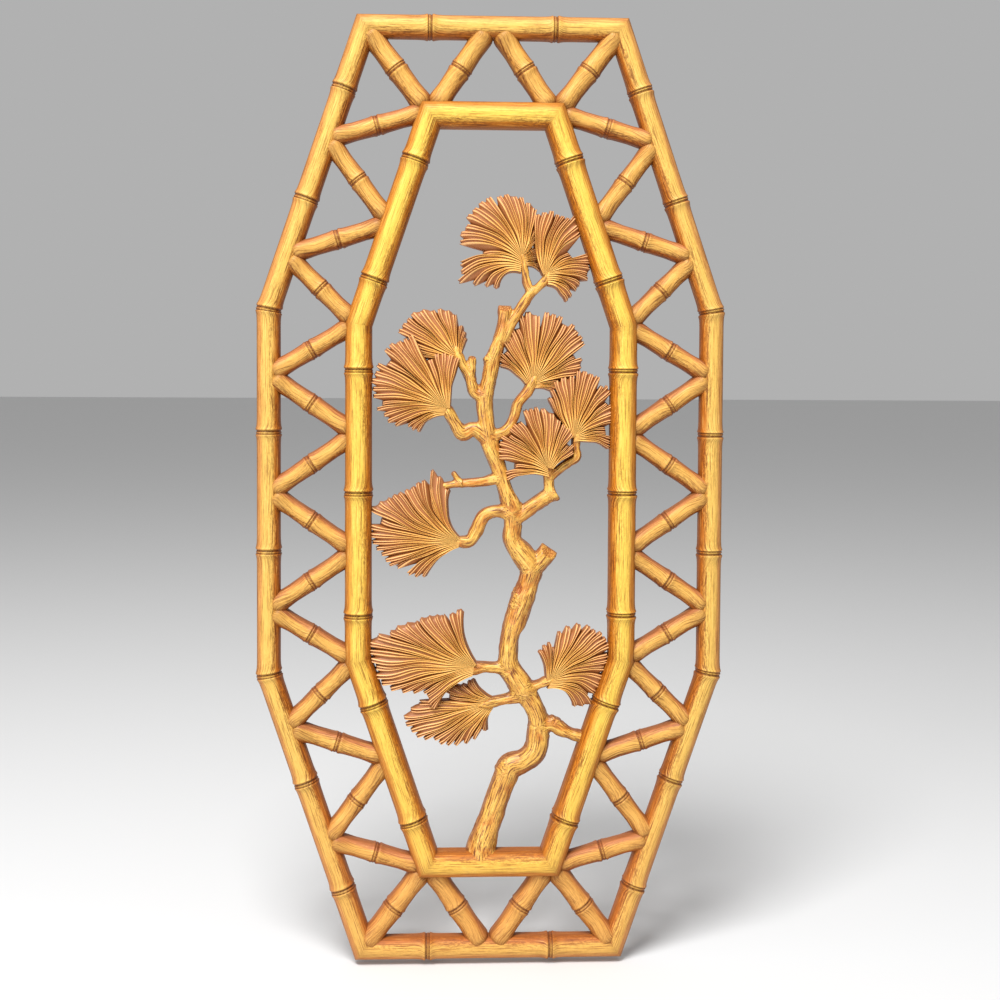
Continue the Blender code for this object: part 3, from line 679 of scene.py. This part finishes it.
# Painted shade on flanks that face down and right, away from the light, and a pinker painted lit-side tone on
# upper flanks
colour = blend_of(tree, ranged(tree, facing_from_light, 0.3, 0.9, 0.0, 0.85), colour, paint(178, 98, 20))
lit_flank = times(tree, ranged(tree, facing_from_light, 0.15, -0.35), ranged(tree, front, 0.72, 0.3))
colour = blend_of(tree, lit_flank, colour, paint(184, 118, 76))
colour = blend_of(tree, ranged(tree, hollow, 0.0, 0.5, 0.0, 0.75), colour, paint(190, 112, 32))
colour = blend_of(tree, ranged(tree, hollow, 0.8, 1.0, 0.0, 0.85), colour, paint(158, 78, 36))
# Painted shade towards the edges, where the surface turns away from the front
colour = blend_of(tree, ranged(tree, front, 0.74, 0.25, 0.0, 0.8), colour, paint(132, 74, 30))
colour = blend_of(tree, ranged(tree, fine, 0.54, 0.68, 0.0, 0.6), colour, paint(250, 208, 116))
colour = blend_of(tree, ranged(tree, fine, 0.5, 0.39), colour, paint(116, 62, 18))
colour = blend_of(tree, ranged(tree, specks, 0.46, 0.36, 0.0, 0.6), colour, paint(112, 62, 22))
finish_paint(tree, shader, colour, fine, (0.38, 0.52), 0.4, 0.3 * MM)
finish_piece(bm, "trunk_and_limbs", trunk_paint)


# Needle fans
# Eleven sprays of pine needles at the limbs' ends, each a shell of rounded ribs that spread from one hub in
# tufts. They are thick plates with deep grooves, which hold brown glaze under rubbed, paler ribs that also carry a
# painted highlight; the deep gaps between tufts hold painted shade.

NEEDLE_EDGE, NEEDLE_CROWN, LAYER, NOTCH, DRAFT = 4.6 * MM, 2.2 * MM, 2.0 * MM, 0.955, 0.9 * MM
# A fan's hub in the drawing, its layer, the directions of its roots in degrees, its tufts, and how far the first
# and the last root stand off the hub. A tuft is its first and last direction, their lengths in the drawing's
# millimetres, and the share of the length that the gap before it keeps.
FANS = {
    "crown_left": ((19.2, 138.8), 0, (-30, 200), (
        (-36, -24, 13, 11.5, 1), (-8, 40, 9, 9.5, 0.95), (52, 64, 14, 22, 0.9), (75, 84, 30, 33, 0.9),
        (91, 110, 36.5, 38, 0.95), (120, 142, 41.5, 39.5, 0.86), (151, 166, 38.5, 37.5, 0.93),
        (185, 194, 35.6, 37, 0.64), (201, 209, 40, 32, 0.92),
        (218, 228, 27, 23.5, 0.9)), (1.5, -5), (-0.5, -9)),
    "crown_right": ((34, 128.9), 1, (-35, 124), (
        (-50, -40, 20.4, 19.7, 1), (-27, -16, 20, 20.5, 0.85), (-6, 24, 24.4, 27.6, 0.95),
        (51, 63, 31.6, 37, 0.64), (69, 80, 36.4, 36.8, 0.95), (85, 99, 37.8, 36.4, 0.93)), (1, -6.5), (-2, -0.5)),
    "upper_right": ((26.3, 63.5), 0, (-12, 142), (
        (-20, -4, 13, 19, 1), (12, 27, 27, 33, 0.84), (38, 55, 39, 42, 0.9),
        (67, 78, 43, 42, 0.93), (86, 101, 40, 42, 0.82), (112, 124, 35, 33, 0.95),
        (139, 151, 28, 22, 0.86)), (-1, -3.5), (-4.5, -0.5)),
    "far_right": ((52, 31.5), 1, (-4, 132), (
        (-18, -2, 22, 22, 1), (22, 40, 24, 30, 0.86), (52, 62, 34, 35, 0.9),
        (69, 87, 38, 39, 0.88), (93, 110, 36, 35, 0.92), (117, 124, 31, 27, 0.88)), (-1, -3.5), (-2.5, -1.5)),
    "middle_right": ((35.1, 12.7), 2, (34, 182), (
        (30, 40, 18, 20, 1), (53, 69, 25, 28, 0.88), (76, 95, 29, 35, 0.94),
        (101, 111, 36, 36, 0.94), (122, 134, 31, 32, 0.86), (146, 168, 33, 30, 0.9),
        (188, 196, 25, 25, 0.76)), (3.5, -1), (1, -6)),
    "shoulder_left": ((-19, 78.9), 0, (72, 182), (
        (68, 86, 12, 19, 1), (95, 112, 25, 30, 0.94), (119, 137, 31, 37, 0.93),
        (143, 156, 37, 38, 0.94), (164, 178, 33, 26, 0.9)), (2, 0), (0, -4)),
    "upper_left": ((-26.1, 48.2), 2, (84, 196), (
        (77, 100, 31, 33, 1), (117, 136, 49, 50, 0.92), (148, 171, 48, 44, 0.9),
        (181, 199, 41, 32, 0.92), (205, 219, 25, 22, 0.88)), (2.5, 0), (-1, -4.5)),
    "middle_left": ((-17.3, -32.2), 1, (138, 206), (
        (104, 113, 32, 47, 1), (122, 138, 42, 44, 0.9), (142, 160, 46, 56, 0.95),
        (171, 190, 55, 48, 0.88), (195, 203, 46, 42, 0.94), (213, 224, 37, 31, 0.78)), (1, 1), (-1, -4)),
    "lower_left": ((-8.5, -107.8), 2, (122, 212), (
        (106, 115, 34, 33, 1), (123, 140, 35, 42, 0.78), (144, 159, 43, 54, 0.94),
        (163, 168, 60, 64.5, 0.95), (172, 191, 64, 57, 0.92), (196, 205, 52, 41, 0.94),
        (208, 226, 33.6, 36, 0.82)), (1.5, 1), (-1, -6)),
    "lowest_left": ((3.2, -130.5), 0, (148, 244), (
        (135, 143, 18, 19, 1), (153, 166, 21, 30, 0.9), (181, 190, 44, 53, 0.86),
        (195, 209, 54, 47, 0.94), (213, 224, 42, 38, 0.95), (229, 237, 35, 30, 0.94),
        (243, 254, 26, 19, 0.9)), (-1, 2.5), (0, -4)),
    "lower_right": ((38.5, -117.2), 1, (-8, 100), (
        (-46, -29, 22, 29, 1), (-16, 2, 28, 31, 0.86), (13, 24, 33, 38, 0.93),
        (31, 54, 42, 39, 0.94), (63, 81, 37, 30, 0.92), (92, 110, 22.5, 19, 0.84)), (-2, -5), (-3, -1)),
}
# From a rib's middle to the middle of the valley beside it: place across, height, and share of the way to the
# valley's length. Each rib is a pair of thin needles parted by a groove. The gap between two tufts is cut deeper,
# and its low height also paints shade into it.
FLANK = (
    (0.0, 0.1, 0.1), (0.16, 0.22, 0.08), (0.27, 0.75, 0.03), (0.38, 1.0, 0.0), (0.49, 0.85, 0.05),
    (0.59, 0.4, 0.2),
)
ACROSS = FLANK + ((0.69, 0.1, 0.4), (0.84, 0.0, 0.75), (1.0, -0.05, 1.0))
ACROSS_GAP = FLANK + ((0.69, 0.05, 0.4), (0.84, -0.3, 0.75), (1.0, -0.6, 1.0))
PARTING_END, FLANK_END, VALLEY_SHARE = 0.3, 0.69, 0.31
# Widths of a rib in the drawing's millimetres and in degrees
RIB_PITCH, WIDEST_RIB, RIB_HALF, ROUND_UP = 4.8, 9.0, 4.6, 0.25
# How single needles stray in length and angle and sway between root and tip, and how short a fan's outer sides are
STRAY_LENGTH, STRAY_ANGLE, SWAY, OUTER_SHARE = 0.06, 1.6, 20.0, 0.93
GROOVE_DEPTH, TIP_ROUND, ROUND_FROM, ROUND_SHARE = 1.0 * MM, 0.8 * MM, 0.93, 0.07
ROOT_SPREAD, ROOT_FALL, SKIRT_RIDGE = 3.2, 1.5, 0.1
COLUMN_GRAIN, FAN_SHIFT = 0.17 * MM, 0.21
REACHES = [i / 20 for i in range(19)] + [0.93, 0.955, 0.975, 0.99, 1.0]


def spans_at(angle, length):
    """How many rib widths fit in an angle at a needle's tip."""
    return max(1, round(max(math.radians(angle) * length / RIB_PITCH, angle / WIDEST_RIB) + ROUND_UP))


def needle_lines(roots, tufts):
    """A fan's ridges and valleys in turn: root and tip direction, length, 1 on a ridge, 1 where a tuft ends."""
    lines = []
    for first, last, long_first, long_last, notch in tufts:
        ribs = spans_at(last - first, (long_first + long_last) / 2) + 1
        pitch = (last - first) / (ribs - 1)
        if lines:
            angle, length, _, _ = lines[-1]
            short = notch * min(length, long_first)
            parts = 2 * spans_at(first - angle, short)
            between = [angle + (first - angle) * k / parts for k in range(1, parts)]
            lines += [(place, short, k % 2, 1 - k % 2) for k, place in enumerate(between)]
        else:
            lines.append((first - pitch / 2, OUTER_SHARE * long_first, 0, 1))
        for k in range(ribs):
            share = k / (ribs - 1)
            stray = noise.noise(Vector((first + 3.7 * k, last, long_first)))
            length = (long_first + (long_last - long_first) * share) * (1 + STRAY_LENGTH * stray)
            angle = first + (last - first) * share + STRAY_ANGLE * stray
            if k:
                lines.append(((lines[-1][0] + angle) / 2, NOTCH * length, 0, 0))
            lines.append((angle, length, 1, 0))
    lines.append((last + pitch / 2, OUTER_SHARE * long_last, 0, 1))
    low, high = lines[0][0], lines[-1][0]
    return [(roots[0] + (roots[1] - roots[0]) * (line[0] - low) / (high - low), *line) for line in lines]


def fan_columns(lines):
    """Fills in the flanks between ribs and valleys: root, tip, length, height, and whether it parts a pair."""
    columns = []
    for a, b in zip(lines, lines[1:]):
        ridge, valley = (a, b) if a[3] else (b, a)
        profile = ACROSS_GAP if valley[4] else ACROSS
        for t, height, shrink in profile if a[3] else profile[::-1]:
            if columns and t == (0.0 if a[3] else 1.0):
                continue
            narrow = min(1.0, RIB_HALF / abs(valley[1] - ridge[1]))
            place = t * narrow if t < FLANK_END else 1 - (1 - t) / VALLEY_SHARE * (1 - FLANK_END * narrow)
            root, tip = (p + (q - p) * place for p, q in zip(ridge[:2], valley[:2]))
            length = ridge[2] + (valley[2] - ridge[2]) * shrink
            columns.append((root, tip, length, height, t < PARTING_END))
    return columns


def near_side(steps, across):
    """How near a column is to the side it is so many steps from: 1 at the side, 0 from a third of the way in."""
    return max(0.0, 1 - ROOT_SPREAD * steps / across) ** ROOT_FALL


def bend_fan(bm, hub, layer, roots, tufts, first_foot, last_foot, lane):
    """Bends a grid into a carved fan, then draws its rim back to the flat back and closes it."""
    columns = fan_columns(needle_lines(roots, tufts))
    across, rows = len(columns) - 1, len(REACHES) - 1
    grain = bm.verts.layers.float_vector.new("grain")
    ridge, reached = (float_layer(bm, name) for name in ("ridge", "reached"))
    centre = drawn(*hub)
    grid = bmesh.ops.create_grid(bm, x_segments=across, y_segments=rows, size=0.5)
    for vert in grid["verts"]:
        column, row = round((vert.co.x + 0.5) * across), round((vert.co.y + 0.5) * rows)
        root, tip, length, height, parting = columns[column]
        share = REACHES[row]
        sway = noise.noise(Vector((column / 30, 5.3 * lane, share * 2.2)))
        angle = math.radians(root + (tip - root) * share + SWAY * sway * share * (1 - share))
        reach = length * share
        crown = 0.6 + 1.9 * share - 2.2 * share * share
        wander = noise.noise(Vector((column / 14, 3.1 * lane, share * 1.5)))
        carved = height - 0.5 * max(0.0, wander) * (1 - height)
        if parting:
            carved += (1 - carved) * min(1.0, max(0.0, 1.5 - 2.5 * share))
        relief = GROOVE_DEPTH * min(1.0, 0.2 + 2.2 * share) * (carved - 0.6)
        tip_round = TIP_ROUND * max(0.0, (share - ROUND_FROM) / ROUND_SHARE) ** 2
        depth = NEEDLE_EDGE + layer * LAYER + NEEDLE_CROWN * crown + relief - tip_round
        foot = Vector(first_foot) * near_side(column, across)
        foot += Vector(last_foot) * near_side(across - column, across)
        spot = centre + Vector((reach * math.cos(angle) * x_scale, reach * math.sin(angle) * y_scale))
        spot += foot * MM * (1 - share) ** ROOT_FALL
        vert.co = standing(spot.x, spot.y, depth)
        vert[grain] = (reach * MM, column * COLUMN_GRAIN + FAN_SHIFT * lane, 0)
        vert[ridge] = carved
        vert[reached] = share
    bmesh.ops.remove_doubles(bm, verts=grid["verts"], dist=WELD)
    rim = [edge for edge in bm.edges if edge.is_boundary]
    middle = sum((vert.co for vert in bm.verts), Vector()) / len(bm.verts)
    skirt = bmesh.ops.extrude_edge_only(bm, edges=rim)["geom"]
    for vert in skirt:
        if isinstance(vert, bmesh.types.BMVert):
            draft = Vector((vert.co.x - middle.x, 0, vert.co.z - middle.z)).normalized() * DRAFT
            vert.co = Vector((vert.co.x, -BACK_STEP * (2 + lane / FANS_A_STEP), vert.co.z)) + draft
            vert[ridge] = SKIRT_RIDGE
    bmesh.ops.edgeloop_fill(bm, edges=[edge for edge in skirt if isinstance(edge, bmesh.types.BMEdge)])


needle_paint, tree, shader = new_paint("needle_paint")
place = add_node(tree, "Attribute", attribute_name="grain").outputs["Vector"]
ridge, reached = (vertex_value(tree, layer) for layer in ("ridge", "reached"))
fine = streaks(tree, place, (180, 1500, 0), 4.0, 0.7)
cloud = streaks(tree, place, (60, 250, 0), 2.0, 0.5)
valley = blend_of(tree, ranged(tree, reached, 0.3, 1.0), paint(160, 99, 34), paint(150, 90, 46))
valley = blend_of(tree, ranged(tree, cloud, 0.4, 0.65, 0.0, 0.5), valley, paint(180, 118, 70))
# The paler rib tops are rubbed paint and painted highlight together
top = blend_of(tree, ranged(tree, reached, 0.5, 1.0), paint(238, 186, 98), paint(236, 182, 122))
colour = blend_of(tree, ranged(tree, ridge, 0.3, 0.85), valley, top)
colour = blend_of(tree, ranged(tree, fine, 0.48, 0.36, 0.0, 0.3), colour, paint(160, 96, 40))
# Painted shade in the deep gaps between tufts
colour = blend_of(tree, ranged(tree, ridge, 0.0, -0.55, 0.0, 0.9), colour, paint(118, 64, 16))
finish_paint(tree, shader, colour, fine, (0.42, 0.58), 0.3, 0.2 * MM)

for lane, (name, shape) in enumerate(FANS.items()):
    bm = bmesh.new()
    bend_fan(bm, *shape, lane)
    finish_piece(bm, f"{name}_fan", needle_paint)


# Studio
# A pale floor under the plaque, a soft light from above and in front, and a camera a little below the plaque's
# shoulder that stands slightly to its left.

CAMERA_PLACE = (-0.0413, -0.95, -0.19465)
CAMERA_YAW, CAMERA_PITCH, CAMERA_ROLL = math.radians(2.82), math.radians(-2.42), math.radians(0.32)
SENSOR_WIDTH, FOCAL_LENGTH, LENS_SHIFT = 36, 56.448, -0.08
FLOOR_HALF, FLOOR_DROP, FLOOR_GREY, FLOOR_ROUGHNESS = 12.0, 0.002, 0.7, 0.8
SKY_GREY, SKY_STRENGTH = 0.8, 0.55

bm = bmesh.new()
bmesh.ops.create_grid(bm, x_segments=2, y_segments=2, size=FLOOR_HALF)
bmesh.ops.translate(bm, vec=(0, 0, cad_box[0][2] - FLOOR_DROP), verts=bm.verts)
floor = bpy.data.objects.new("floor", bpy.data.meshes.new("floor"))
bm.to_mesh(floor.data)
bm.free()
bpy.context.scene.collection.objects.link(floor)
floor_paint, _, shader = new_paint("pale_floor")
shader.inputs["Base Color"].default_value = (FLOOR_GREY, FLOOR_GREY, FLOOR_GREY, 1)
shader.inputs["Roughness"].default_value = FLOOR_ROUGHNESS
floor.data.materials.append(floor_paint)


def soft_light(name, place, aim, size, power):
    light = bpy.data.lights.new(name, "AREA")
    light.shape = "DISK"
    light.size = size
    light.energy = power
    lamp = bpy.data.objects.new(name, light)
    lamp.location = place
    lamp.rotation_euler = (Vector(aim) - Vector(place)).to_track_quat("-Z", "Y").to_euler()
    bpy.context.scene.collection.objects.link(lamp)


soft_light("overhead", (-0.35, -1.1, 1.5), (0, 0, -0.25), size=0.9, power=62)
soft_light("front_left", (-1.3, -1.6, 0.2), (0, 0, -0.3), size=1.0, power=16)

world = bpy.data.worlds.new("studio")
bpy.context.scene.world = world
world.use_nodes = True
sky = world.node_tree.nodes["Background"]
sky.inputs["Color"].default_value = (SKY_GREY, SKY_GREY, SKY_GREY, 1)
sky.inputs["Strength"].default_value = SKY_STRENGTH

lens = bpy.data.cameras.new("camera")
lens.sensor_width = SENSOR_WIDTH
lens.lens = FOCAL_LENGTH
lens.shift_y = LENS_SHIFT
camera = bpy.data.objects.new("camera", lens)
bpy.context.scene.collection.objects.link(camera)
camera.matrix_world = (
    Matrix.Translation(CAMERA_PLACE)
    @ Matrix.Rotation(-CAMERA_YAW, 4, "Z")
    @ Matrix.Rotation(math.pi / 2 + CAMERA_PITCH, 4, "X")
    @ Matrix.Rotation(CAMERA_ROLL, 4, "Z")
)
bpy.context.scene.camera = camera
bpy.context.scene.view_settings.view_transform = "Standard"
